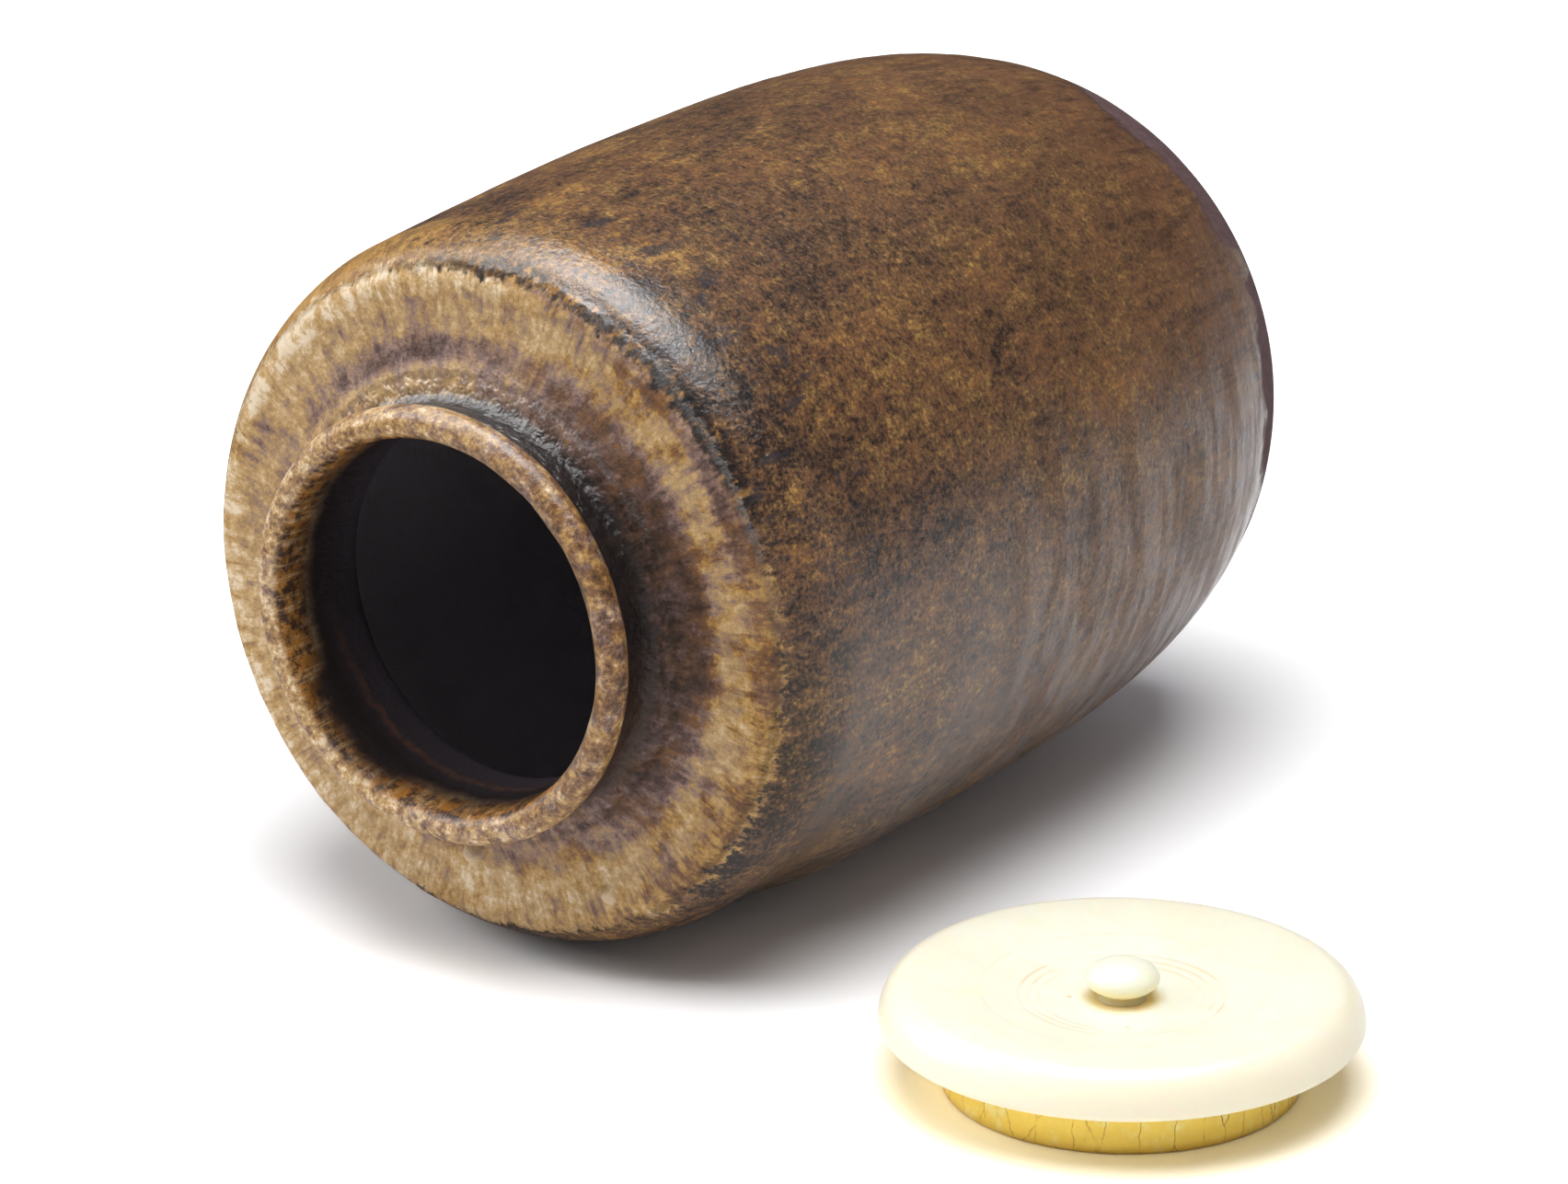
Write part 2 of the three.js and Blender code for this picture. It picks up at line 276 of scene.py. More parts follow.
class Wire:
    """What comes out of a shader node. It adds and multiplies like a number.

    Each method adds a node that takes this wire, and gives the wire that comes out of the new node.
    """

    def __init__(self, tree, socket):
        self.tree, self.socket = tree, socket

    def node(self, kind, inputs, output=0, **settings):
        """One output of a new node in this wire's tree."""
        return Wire(self.tree, put(self.tree, kind, inputs, **settings).outputs[output])

    def operate(self, operation, other):
        """One operation on this value and another."""
        return self.node("ShaderNodeMath", {0: self, 1: other}, operation=operation)

    def __add__(self, other):
        return self.operate("ADD", other)

    __radd__ = __add__

    def __sub__(self, number):
        return self + -number

    def __mul__(self, other):
        return self.operate("MULTIPLY", other)

    def vector(self, operation, other=(0, 0, 0), output=0):
        """One operation on this vector and another."""
        return self.node("ShaderNodeVectorMath", {0: self, 1: other}, output, operation=operation)

    def stretch(self, *factors):
        """This vector times one factor for each axis."""
        return self.vector("MULTIPLY", factors)

    def shift(self, *offsets):
        """This vector with an offset added."""
        return self.vector("ADD", offsets)

    def part(self, axis):
        """The part of this vector along X, Y or Z."""
        return self.node("ShaderNodeSeparateXYZ", {"Vector": self}, axis)

    def noise(self, grain, detail, roughness):
        """Smooth noise from 0 to 1 whose features are about one grain wide, in the vector's own unit."""
        inputs = {"Vector": self, "Scale": 1 / grain, "Detail": detail, "Roughness": roughness}
        return self.node("ShaderNodeTexNoise", inputs)

    def ease(self, low, high, start=0.0, end=1.0):
        """Goes smoothly from start to end while this value goes from low to high."""
        inputs = {"Value": self, "From Min": low, "From Max": high, "To Min": start, "To Max": end}
        return self.node("ShaderNodeMapRange", inputs, interpolation_type="SMOOTHSTEP")

    def band(self, low, high, soft):
        """One between low and high, falling to nothing within the soft distance outside."""
        return self.ease(low - soft, low) * self.ease(high, high + soft, 1.0, 0.0)

    def blend(self, amount, other):
        """A value that goes from this one to another."""
        return self + amount * (other + self * -1.0)

    def ramp(self, stops, interpolation="LINEAR"):
        """A colour that follows a list of places and colours."""
        node = put(self.tree, "ShaderNodeValToRGB", {"Fac": self})
        node.color_ramp.interpolation = interpolation
        elements = node.color_ramp.elements
        while len(elements) < len(stops):
            elements.new(1.0)
        for element, (position, colour_there) in zip(elements, stops):
            element.position, element.color = position, tuple(colour_there)
        return Wire(self.tree, node.outputs["Color"])

    def around(self, table):
        """The value of a table of degrees and values, where this is a share of a turn."""
        return self.ramp([(degrees / 360 + 0.5, (value, value, value, 1)) for degrees, value in table], "EASE")

    def towards(self, degrees, low, high):
        """One on the side of the axis that faces an angle, easing away round it, where this is the flow.

        It is the cosine of the angle between the place and that side, eased from low to high.
        """
        side = (math.cos(math.radians(degrees)), math.sin(math.radians(degrees)), 0)
        return self.stretch(1, 1, 0).vector("NORMALIZE").vector("DOT_PRODUCT", side, "Value").ease(low, high)

    def spot(self, centre, radius, soft):
        """One within a radius of a point, and nothing past the soft distance beyond."""
        return self.vector("DISTANCE", centre, "Value").ease(radius, radius + soft, 1.0, 0.0)

    def bump(self):
        """A normal from this height in millimetres."""
        return self.node("ShaderNodeBump", {"Height": self, "Strength": 1.0, "Distance": MM})


def millimetres(tree, origin):
    """Object coordinates in millimetres, counted from a point given in metres."""
    return source(tree, "ShaderNodeTexCoord", "Object").shift(*-origin).stretch(1 / MM, 1 / MM, 1 / MM)


def flow_wire(tree):
    """The attribute flow, in millimetres."""
    return source(tree, "ShaderNodeAttribute", "Vector", attribute_name="flow")


def new_material(name):
    """A new material, and its empty tree."""
    material = bpy.data.materials.new(name)
    material.use_nodes = True
    material.node_tree.nodes.clear()
    return material, material.node_tree


def finish_tree(tree, output, shader, inputs):
    """Ends a tree with a shader node, given its inputs, and the output node."""
    surface = Wire(tree, put(tree, shader, inputs).outputs[0])
    put(tree, output, {"Surface": surface})


def place_group(name, fill, inputs, outputs):
    """Puts a shader node group, which fill makes on first use from its inputs, and gives the outputs."""
    tree = bpy.data.node_groups.get(name)
    if tree is None:
        tree = bpy.data.node_groups.new(name, "ShaderNodeTree")
        for label in inputs:
            kind = "NodeSocketVector" if label == "Vector" else "NodeSocketFloat"
            tree.interface.new_socket(label, in_out="INPUT", socket_type=kind)
        for label in outputs:
            tree.interface.new_socket(label, in_out="OUTPUT", socket_type="NodeSocketFloat")
        given = put(tree, "NodeGroupInput")
        results = fill(*(Wire(tree, given.outputs[label]) for label in inputs))
        put(tree, "NodeGroupOutput", dict(zip(outputs, results)))
    holder = inputs["Vector"].tree
    node = put(holder, "ShaderNodeGroup", inputs, node_tree=tree)
    return [Wire(holder, node.outputs[label]) for label in outputs]


def pit_nodes(place, spacing, reach, density):
    """A pit at the nearest scattered point, where it is within reach and one of those chosen."""
    fineness = place.node("ShaderNodeMath", {0: 1.0, 1: spacing}, operation="DIVIDE")
    cells = put(place.tree, "ShaderNodeTexVoronoi", {"Vector": place, "Scale": fineness})
    distance, tint = (Wire(place.tree, cells.outputs[label]) for label in ("Distance", "Color"))
    pick = tint.node("ShaderNodeSeparateColor", {"Color": tint})
    return [distance.operate("DIVIDE", reach).ease(0.0, 1.0, 1.0, 0.0) * pick.operate("LESS_THAN", density)]


def fine_pits(place, spacing, reach, density):
    """Scattered pits, one at the middle of each and nothing outside."""
    inputs = {"Vector": place, "Spacing": spacing, "Reach": reach, "Density": density}
    return place_group("fine pits", pit_nodes, inputs, ["Pit"])[0]


def smooth(t):
    """Goes from 0 to 1 by 3t^2 - 2t^3."""
    return t * t * (3 - 2 * t)


def degrees_from(turns, degrees):
    """How far a share of a turn lies from an angle, from -180 to 180 degrees."""
    return (turns * 360 - degrees + 180) % 360 - 180


def lattice_noise(turns, along, cells_round, cell_length, seed):
    """Smooth noise from -1 to 1 on an unrolled surface.

    Seeded random numbers stand on a lattice that closes on itself round the axis. A point takes the four
    numbers about it, smoothed in both directions. Turns run from 0 to 1 round the axis.
    """
    rows = int(np.ceil((along.max() - along.min()) / cell_length)) + 2
    numbers = np.random.default_rng(seed).uniform(-1, 1, (rows, cells_round))
    across = (turns % 1) * cells_round
    down = (along - along.min()) / cell_length
    column, row = np.floor(across).astype(int), np.floor(down).astype(int)
    u, v = smooth(across - column), smooth(down - row)
    left, right = column % cells_round, (column + 1) % cells_round
    upper = numbers[row, left] * (1 - u) + numbers[row, right] * u
    lower = numbers[row + 1, left] * (1 - u) + numbers[row + 1, right] * u
    return upper * (1 - v) + lower * v


def bell(distance, width):
    """A bell curve, one in the middle and about a third at the width."""
    return np.exp(-(distance / width) ** 2)


def turned_mesh(name, points, first, last, flow):
    """A closed mesh from rings of points between two points on the axis.

    points holds one ring to a row. Neighbouring rings are joined by quads whose corners run along the
    outline and then round the axis, and the first and last ring are closed with fans of triangles.
    flow holds a vector for each point, and is kept as an attribute.
    """
    rows, columns = points.shape[:2]
    vertices = np.concatenate([points.reshape(-1, 3), [first, last]])
    index = np.arange(rows * columns).reshape(rows, columns)
    after = np.roll(index, -1, axis=1)
    quads = np.stack([index[:-1], index[1:], after[1:], after[:-1]], axis=-1).reshape(-1, 4)
    pole_first, pole_last = rows * columns, rows * columns + 1
    fan_first = np.stack([np.full(columns, pole_first), index[0], after[0]], axis=-1)
    fan_last = np.stack([np.full(columns, pole_last), after[-1], index[-1]], axis=-1)
    corners = np.concatenate([quads.ravel(), fan_first.ravel(), fan_last.ravel()])
    totals = np.concatenate([np.full(len(quads), 4), np.full(2 * columns, 3)])
    mesh = bpy.data.meshes.new(name)
    mesh.vertices.add(len(vertices))
    mesh.vertices.foreach_set("co", vertices.astype(np.float32).ravel())
    mesh.loops.add(len(corners))
    mesh.loops.foreach_set("vertex_index", corners.astype(np.int32))
    mesh.polygons.add(len(totals))
    mesh.polygons.foreach_set("loop_start", (np.cumsum(totals) - totals).astype(np.int32))
    mesh.polygons.foreach_set("loop_total", totals.astype(np.int32))
    mesh.polygons.foreach_set("use_smooth", np.ones(len(totals), bool))
    mesh.update(calc_edges=True)
    mesh.validate()
    attribute = mesh.attributes.new("flow", "FLOAT_VECTOR", "POINT")
    middle = np.array([[0, 0, flow[0, 0, 2]], [0, 0, flow[-1, 0, 2]]])
    attribute.data.foreach_set("vector", np.concatenate([flow.reshape(-1, 3), middle]).astype(np.float32).ravel())
    return mesh


def add_object(name, data):
    """A new object of the scene that holds this data."""
    added = bpy.data.objects.new(name, data)
    bpy.context.scene.collection.objects.link(added)
    return added


def place_piece(name, mesh, material, body, slot, *nodes):
    """Adds a finished mesh as a piece that rides on a body and stands for CAD nodes, and ends its operator."""
    piece = add_object(name, mesh)
    mesh.materials.append(material)
    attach(piece, body)
    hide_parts(*nodes)
    return {"FINISHED"}


def arc(centre, across, along, start, end, steps):
    """Points of an ellipse's arc between two angles in degrees from the outward direction."""
    turn = np.radians(np.linspace(start, end, steps))
    return np.stack([centre[0] + across * np.cos(turn), centre[1] + along * np.sin(turn)], axis=-1)


def line(start, end, steps):
    """Evenly spaced points of a straight stretch."""
    t = np.linspace(0, 1, steps)[:, None]
    return np.array(start) * (1 - t) + np.array(end) * t


def stretch_between(start, end, fullness, rise):
    """Points from start to end, whose radius goes by one row of shares and whose height by another."""
    return np.stack([start[0] + (end[0] - start[0]) * fullness, start[1] + (end[1] - start[1]) * rise], axis=-1)


def eased(start, end, steps):
    """A wall that goes smoothly from one radius to another, upright at both ends."""
    t = np.linspace(0, 1, steps)
    return stretch_between(start, end, smooth(t), t)


def rising(start, end, reach, exponent, steps):
    """A wall that rises by (1 - e^(-h/reach))^exponent, steep at first and then upright."""
    t = np.linspace(0, 1, steps) ** 1.3
    fullness = (1 - np.exp(-(end[1] - start[1]) * t / reach)) ** exponent
    return stretch_between(start, end, fullness / fullness[-1], t)


def swelling(start, end, steps):
    """A wall that swells out by (1 - (1 - t)^2)^0.8, steep at first and then upright."""
    t = np.linspace(0, 1, steps) ** 1.6
    return stretch_between(start, end, (1 - (1 - t) ** 2) ** 0.8, t)


class Outline:
    """An outline of radius and height, gathered stretch by stretch, with the distance along it."""

    def __init__(self, *start):
        self.stretches = {}
        self.last = start

    def add(self, name, points):
        """Adds a stretch, without a first point that repeats the last one."""
        if self.stretches and np.allclose(self.last, points[0], atol=1e-7):
            points = points[1:]
        self.stretches[name] = points
        self.last = tuple(points[-1])

    def straight(self, name, end, steps):
        """Adds a straight stretch from the last point, or from the start."""
        self.add(name, line(self.last, end, steps))

    def finish(self, origin):
        """Works out points, distance along and outward normals. The distance is 0 where a stretch starts."""
        self.points = np.concatenate(list(self.stretches.values()))
        steps = np.linalg.norm(np.diff(self.points, axis=0), axis=1)
        distance = np.concatenate([[0], np.cumsum(steps)])
        ends = np.cumsum([len(points) for points in self.stretches.values()]) - 1
        starts = dict(zip(self.stretches, [0, *ends]))
        self.along = distance - distance[starts[origin]]
        self.end = {name: self.along[last] for name, last in zip(self.stretches, ends)}
        slope = np.gradient(self.points, distance, axis=0)
        self.normals = np.stack([slope[:, 1], -slope[:, 0]], axis=-1)
        self.normals /= np.linalg.norm(self.normals, axis=1, keepdims=True)
        return self


def grid(outline, columns):
    """The share of a turn, the distance along in millimetres, the radius and the height of each point."""
    turns = np.arange(columns)[None, :] / columns
    return np.broadcast_arrays(turns, outline.along[:, None] / MM, outline.points[:, :1], outline.points[:, 1:])


def jar_outline(jar):
    """The jar's outline, from the middle of the foot, over the lip and down inside to the floor's middle."""
    belly_top = jar.lower_wall + jar.belly_length
    waist_height = belly_top + jar.waist_rise
    shoulder_height = waist_height + jar.shoulder_rise
    crest_height = shoulder_height + jar.shoulder_drop
    collar_height = crest_height + jar.collar_rise
    neck_top = collar_height + jar.neck_length
    lip_middle = neck_top + jar.lip_height / 2
    lip_half = (jar.lip - jar.mouth) / 2
    ceiling = crest_height - jar.ceiling
    inner_belly, inner_waist = jar.belly - jar.wall, jar.waist - jar.wall
    outline = Outline(jar.foot_round, 0)
    foot_flat = jar.foot - jar.foot_round
    outline.straight("foot", (foot_flat, 0), 12)
    outline.add("foot edge", arc((foot_flat, jar.foot_round), jar.foot_round, jar.foot_round, -90, -25, 5))
    outline.add("lower wall", rising(outline.last, (jar.belly, belly_top), jar.wall_reach, jar.wall_power, 78))
    outline.add("waist", eased(outline.last, (jar.waist, waist_height), 11))
    outline.add("shoulder ring", eased(outline.last, (jar.shoulder, shoulder_height), 8))
    corner = (jar.shoulder - jar.crest, jar.shoulder_drop)
    outline.add("corner", arc((jar.crest, shoulder_height), *corner, 0, 90, 30))
    slope = line((jar.crest, crest_height), (jar.neck + jar.cove, collar_height), 30)
    slope[:, 1] -= jar.sag * np.sin(np.pi * np.linspace(0, 1, 30))
    outline.add("slope", slope)
    cove_centre = (jar.neck + jar.cove, collar_height + jar.cove)
    outline.add("cove", arc(cove_centre, jar.cove, jar.cove, -90, -180, 9))
    lip = arc((jar.mouth + lip_half, lip_middle), lip_half, jar.lip_height / 2, -65, 180, 30)
    outline.straight("neck", lip[0], 6)
    outline.add("lip", lip)
    outline.straight("mouth", (jar.throat, collar_height), 12)
    throat_centre = (jar.throat + jar.throat_round, ceiling + jar.throat_round)
    outline.straight("throat", (jar.throat, throat_centre[1]), 5)
    outline.add("throat curve", arc(throat_centre, jar.throat_round, jar.throat_round, 180, 270, 7))
    inner_corner = (inner_waist - jar.inner_round, ceiling - jar.inner_round)
    outline.add("inner corner", arc(inner_corner, jar.inner_round, jar.inner_round, 90, 0, 10))
    outline.add("inner waist", eased((inner_waist, waist_height), (inner_belly, belly_top), 7))
    outline.straight("inner belly", (inner_belly, jar.lower_wall), 8)
    floor_edge = (jar.foot - jar.wall, jar.floor)
    outline.add("inner wall", swelling(floor_edge, (inner_belly, jar.lower_wall), 16)[::-1])
    outline.straight("inner floor", (jar.foot_round, jar.floor), 8)
    return outline.finish("lower wall")


# Small things on the jar, as degrees round from the top toward the lid and millimetres along from the foot
GLAZE_LUMP = {"degrees": 183, "along": 91.3, "radius": 0.95, "height": 1.25, "from_axis": 21.2, "height_up": 83.3}
GLAZE_CRUMB = {"degrees": 152, "along": 87.6, "radius": 0.75, "height": 0.5, "from_axis": 24.9, "height_up": 82.4}
LIP_CHIP = {"degrees": -141, "spread": 24, "depth": 0.3}


def bump_at(turns, along, radius, thing):
    """A round bump of one small thing, flat outside it: (1 - d^2)^(1/2) of the distance over its radius."""
    sideways = np.radians(degrees_from(turns, thing["degrees"])) * radius
    distance = np.hypot(sideways, along - thing["along"]) / thing["radius"]
    return thing["height"] * np.sqrt(np.clip(1 - distance ** 2, 0, 1))


def jar_relief(jar, outline, turns, along, radius):
    """How far the jar's surface stands out from its outline, in metres.

    It adds a slow wobble of the thrown wall, soft throwing ridges of about three millimetres, a swelling over
    the foot, a waist that stands out low on the lid's side, the rolled edge of the glaze at the crest, whose
    line and height stray, the chipped lip and the small lumps. On its top and toward the camera the wall
    follows a straight line from the belly to the shoulder plus 4 times the bow times t (1 - t), without the
    waist that the outline has on the other sides.
    """
    outside = 1 - np.clip((along - outline.end["lip"] / MM) / 3, 0, 1)
    wall = np.clip(along / 10, 0, 1) * outside
    slow = lattice_noise(turns, along, 5, 26, 11) + 0.45 * lattice_noise(turns, along, 13, 9, 12)
    relief = jar.wobble * (slow - 0.4) * wall
    pitch = 2.9 + 0.5 * np.sin(along / 7)
    drift = 0.8 * lattice_noise(turns, along, 7, 12, 18)
    strength = 0.6 + 0.6 * lattice_noise(turns, along, 9, 5, 19)
    relief += jar.ridge * np.sin(2 * np.pi * (along / pitch + drift)) * strength * bell(along - 34, 34) * wall
    off_axis = np.clip(np.cos(2 * np.pi * turns - math.radians(150)), 0, 1)
    relief += jar.lean * off_axis * bell(along - 66, 7)
    relief += jar.heel * bell(along - 9, 5)
    start, end = 38, 80  # of the bowed stretch, in millimetres along
    at_start, at_end = np.interp((start, end), outline.along / MM, outline.points[:, 0])
    t = np.clip((along - start) / (end - start), 0, 1)
    fuller = at_start + (at_end - at_start) * t + 4 * jar.bow * t * (1 - t)
    facing = smooth(np.clip((np.cos(2 * np.pi * turns - math.radians(16)) + 0.45) / 0.95, 0, 1))
    relief += facing * (fuller - radius) * (along > start) * (along < end)
    roll_line = outline.end["corner"] / MM - ROLL_BACK
    level = along * 0
    stray = 0.25 * lattice_noise(turns, level, 70, 1, 13) + 0.2 * lattice_noise(turns, level, 22, 1, 14)
    height = 0.8 + 0.3 * lattice_noise(turns, level, 100, 1, 15)
    from_roll = along - roll_line - stray
    relief += jar.glaze_roll * (height * bell(from_roll, 0.8) - 0.5 * bell(from_roll + 1.4, 0.6))
    lip_end = outline.end["lip"] / MM
    chip_across = degrees_from(turns, LIP_CHIP["degrees"])
    rough = np.clip(0.4 + lattice_noise(turns, along, 110, 0.9, 16), 0, None)
    relief -= LIP_CHIP["depth"] * MM * rough * bell(chip_across, LIP_CHIP["spread"]) * bell(along - lip_end, 1.1)
    lip_play = lattice_noise(turns, along, 40, 2.2, 17) * bell(along - lip_end + 2.4, 3.2)
    relief += 0.06 * MM * lip_play
    lumps = bump_at(turns, along, radius / MM, GLAZE_LUMP) + bump_at(turns, along, radius / MM, GLAZE_CRUMB)
    return relief + lumps * MM


def jar_mesh(jar, outline):
    """The jar as one closed surface.

    A point stands at angle a round the axis, counted from the top toward the lid, at its outline's radius
    and height moved out by the relief: x = radius sin a, z = radius cos a, y = minus the height. Where it
    would dip under the table it is held back to it, which leaves the flat that the jar lies on.
    """
    turns, along, radius, height = grid(outline, jar.columns)
    relief = jar_relief(jar, outline, turns, along, radius)
    out = radius + outline.normals[:, :1] * relief
    up = height + outline.normals[:, 1:] * relief
    turn, axis = turns * 2 * np.pi, np.array(JAR_AXIS)
    points = np.stack([out * np.sin(turn), -up, out * np.cos(turn)], axis=-1) + axis
    points = np.clip(points, np.array(JAR_LOW), np.array(JAR_HIGH))
    wheel = jar.shoulder / MM
    flow = np.stack([wheel * np.cos(turn), wheel * np.sin(turn), along], axis=-1)
    return turned_mesh("jar", points, axis, axis - np.array([0, jar.floor, 0]), flow)


# How light the glaze is round the jar, partly its own colour and partly painted light and shade, lighter on the top
# and the left and darker toward the lid: pairs of degrees from the top toward the lid, and lightness shares
CREST_LIGHTNESS = ((-180, 0.76), (-120, 0.86), (-50, 0.92), (-5, 0.90), (20, 0.54), (55, 0.34), (80, 0.56),
                   (125, 0.68), (155, 0.68), (180, 0.76))
OUTER_LIGHTNESS = ((-180, 0.80), (-120, 0.76), (-60, 0.68), (-20, 0.66), (30, 0.67), (90, 0.67), (115, 0.69),
                   (155, 0.80), (180, 0.80))
MIDDLE_LIGHTNESS = ((-180, 0.56), (-120, 0.54), (-70, 0.58), (-30, 0.33), (15, 0.40), (55, 0.24), (90, 0.18),
                    (115, 0.32), (155, 0.54), (180, 0.56))
INNER_LIGHTNESS = ((-180, 0.56), (-100, 0.56), (-40, 0.64), (-5, 0.60), (25, 0.33), (55, 0.12), (90, 0.06),
                   (115, 0.18), (155, 0.42), (180, 0.56))
LIP_LIGHTNESS = ((-180, 0.60), (-110, 0.66), (-30, 0.58), (0, 0.54), (25, 0.42), (55, 0.32), (88, 0.38),
                 (115, 0.46), (155, 0.52), (180, 0.60))
NECK_GLOSS = ((-180, 0.25), (-60, 0.3), (-25, 1.0), (15, 1.0), (45, 0.5), (85, 0.4), (180, 0.3))
BODY_GLOSS = ((-180, 0.5), (-60, 0.25), (45, 0.2), (62, 0.35), (85, 0.9), (130, 0.95), (180, 0.5))
CORNER_GLOSS = ((-180, 0.4), (-30, 0.3), (6, 0.85), (60, 0.85), (90, 0.6), (180, 0.5))
LIP_AMBER = ((-180, 0.7), (-60, 0.6), (0, 0.8), (60, 1.0), (110, 0.9), (180, 0.7))
# Shares round the jar of the slope's yellow grain and of the dark gaps under the crest
YELLOWNESS = ((-180, 0.7), (-60, 0.35), (0, 0.4), (30, 1.0), (120, 1.0), (180, 0.7))
GAPS = ((-180, 0.05), (-30, 0.1), (8, 0.85), (48, 0.85), (75, 0.15), (180, 0.05))
# How far the slope's light grain spills over the crest onto the wall, as a share
SPILL = ((-180, 0.3), (-60, 0.9), (-25, 0.8), (5, 0.1), (45, 0.1), (75, 0.9), (125, 1.0), (180, 0.3))
# How light the neck is round the jar, partly its own dark glaze and partly painted light and shade
NECK_LIGHTNESS = ((-180, 0.42), (-60, 0.45), (-22, 0.20), (0, 0.02), (80, 0.03), (118, 0.34), (180, 0.42))


def glaze_material(colours, stations):
    """Iron glaze over stoneware: bare clay, rust, mottled brown, an ochre corner lighter on its left, grained slope
    and black neck, with painted light and shade round the jar.
    """
    material, tree = new_material("iron_glaze")
    place, flow = millimetres(tree, JAR_AXIS), flow_wire(tree)
    along = flow.part("Z")
    # Where a place stands round the jar, from 0 at the bottom over 0.5 at the top to 1 at the bottom again
    turn = flow.part("Y").operate("ARCTAN2", flow.part("X")) * (1 / (2 * math.pi)) + 0.5
    crest = stations["corner"] - ROLL_BACK
    slope_end, lip_start, lip_end = stations["slope"], stations["neck"], stations["lip"]

    def tones(value, **stops):
        """A ramp through the glaze's colours, each named with its place."""
        return value.ramp([(position, getattr(colours, name)) for name, position in stops.items()])

    # Grain shared by the whole glaze
    grains = flow.stretch(1, 1, 0.72).noise(1.0, 8, 0.76)
    flecks = place.noise(0.36, 4, 0.7)
    blotches = flow.stretch(1, 1, 0.5).noise(4.5, 4, 0.62)
    patches = flow.shift(40, 0, 0).noise(16, 2, 0.5)
    streaks = flow.stretch(1, 1, 0.14).noise(0.9, 4, 0.65)
    radial = flow.stretch(1, 1, 0.42).noise(1.7, 5, 0.68)
    speckle = place.shift(0, 31, 0).noise(1.35, 6, 0.72)
    strokes = flow.stretch(1, 1, 0.2).shift(9, 0, 0).noise(0.75, 3, 0.6)
    rings = flow.stretch(0.22, 0.22, 1).noise(1.9, 5, 0.65)
    hue = flow.stretch(1, 1, 0.7).shift(0, 77, 0).noise(4.2, 5, 0.7)
    fine_hue = place.shift(0, 0, 71).noise(1.3, 6, 0.75)
    speck_hue = place.shift(60, 0, 0).noise(2.8, 5, 0.7)
    mottle = place.shift(0, 0, 23).noise(1.15, 7, 0.74)

    # The body's tone: grains, flecks and blotches round a middle, with more contrast toward the shoulder
    tone = grains * 1.5 + flecks * 1.3 + blotches * 0.75 + patches * 0.6 - 2.075
    # Painted shade: the body is darker on the side toward the lid
    shaded = flow.towards(58, 0.75, 0.98) * along.ease(40, 62)
    low_part = along.ease(34, 18)
    corner = along.band(79.5, crest + 0.6, 3.2)
    # Painted light: the corner is lighter and more ochre on its left, partly its own glaze and partly where the light
    # falls
    golden_and_painted_light = corner * flow.towards(-50, 0.35, 0.95)
    level = tone * along.ease(26, 76, 0.75, 1.2) + 0.47 + along.ease(74, 80) * -0.03 + shaded * -0.09
    level = level + streaks.ease(0.46, 0.66) * low_part * -0.28 + golden_and_painted_light * 0.28 + tone * corner * 0.25
    warm = tones(level, black=0, umber=0.16, brown=0.46, amber_brown=0.70, ochre=1)
    cool = tones(level, black=0, dusk=0.2, olive=0.5, gold=1)
    body = mix((hue * 0.5 + fine_hue * 0.9 - 0.2).ease(0.44, 0.58, 0.0, 0.9), warm, cool)
    body = mix(low_part * 0.55, body, mix(0.5, body, colours.rust))
    body = mix(golden_and_painted_light * 0.45, body, tones(level, umber=0.1, ochre=0.5, gold=0.8))

    # Dark blue-grey patches drawn out along the jar under the corner
    slate = flow.stretch(1, 1, 0.5).shift(17, 0, 9).noise(2.1, 5, 0.7).ease(0.55, 0.62)
    slate = slate * along.band(75, crest - 1, 6) * flow.towards(32, 0.3, 0.9)
    body = mix(slate * 0.8, body, colours.slate)

    # The slope: light and dark grain whose mean follows the tables round the jar
    ragged = along + grains * 2.6 + blotches * 1.2 - 1.9
    mean = turn.around(CREST_LIGHTNESS).blend(ragged.ease(crest + 0.9, crest + 2.2), turn.around(OUTER_LIGHTNESS))
    mean = mean.blend(ragged.ease(crest + 4.0, crest + 6.0), turn.around(MIDDLE_LIGHTNESS))
    mean = mean.blend(ragged.ease(slope_end - 2.6, slope_end - 1.0), turn.around(INNER_LIGHTNESS))
    stroked = strokes.ease(0.50, 0.64) * ragged.band(crest + 0.3, crest + 2.6, 2)
    grained = speckle * 1.05 + radial * 0.85 + flecks * 0.5 + blotches * 0.5 - 1.45 + stroked * -0.15
    light = mean + grained
    slope = tones(light, dusk=0, plum=0.26, mauve=0.48, straw=0.68, tan=0.84, cream=1)
    ochre_slope = tones(light, umber=0, brown=0.3, amber_brown=0.5, gold=0.74, tan=0.9, cream=1)
    spill = turn.around(SPILL)
    yellow = speck_hue.ease(0.42, 0.60) * turn.around(YELLOWNESS)
    at_crest = spill * ragged.ease(crest + 2.6, crest + 0.4)
    slope = mix(yellow.operate("MAXIMUM", at_crest * 0.85), slope, ochre_slope)
    spilt = ragged + spill * (grains * 6 - 1.6)
    surface = mix(spilt.ease(crest - 0.15, crest + 0.45), body, slope)

    # Dark gaps and amber beads just under the crest, on the side toward the lid
    beads = flow.stretch(1, 1, 0.8).shift(0, 0, 50).noise(1.0, 3, 0.6)
    gaps = ragged.band(crest - 1.5, crest - 0.2, 0.5) * turn.around(GAPS)
    surface = mix(gaps * beads.ease(0.58, 0.45), surface, colours.black)
    surface = mix(gaps * beads.ease(0.55, 0.68), surface, colours.ochre)

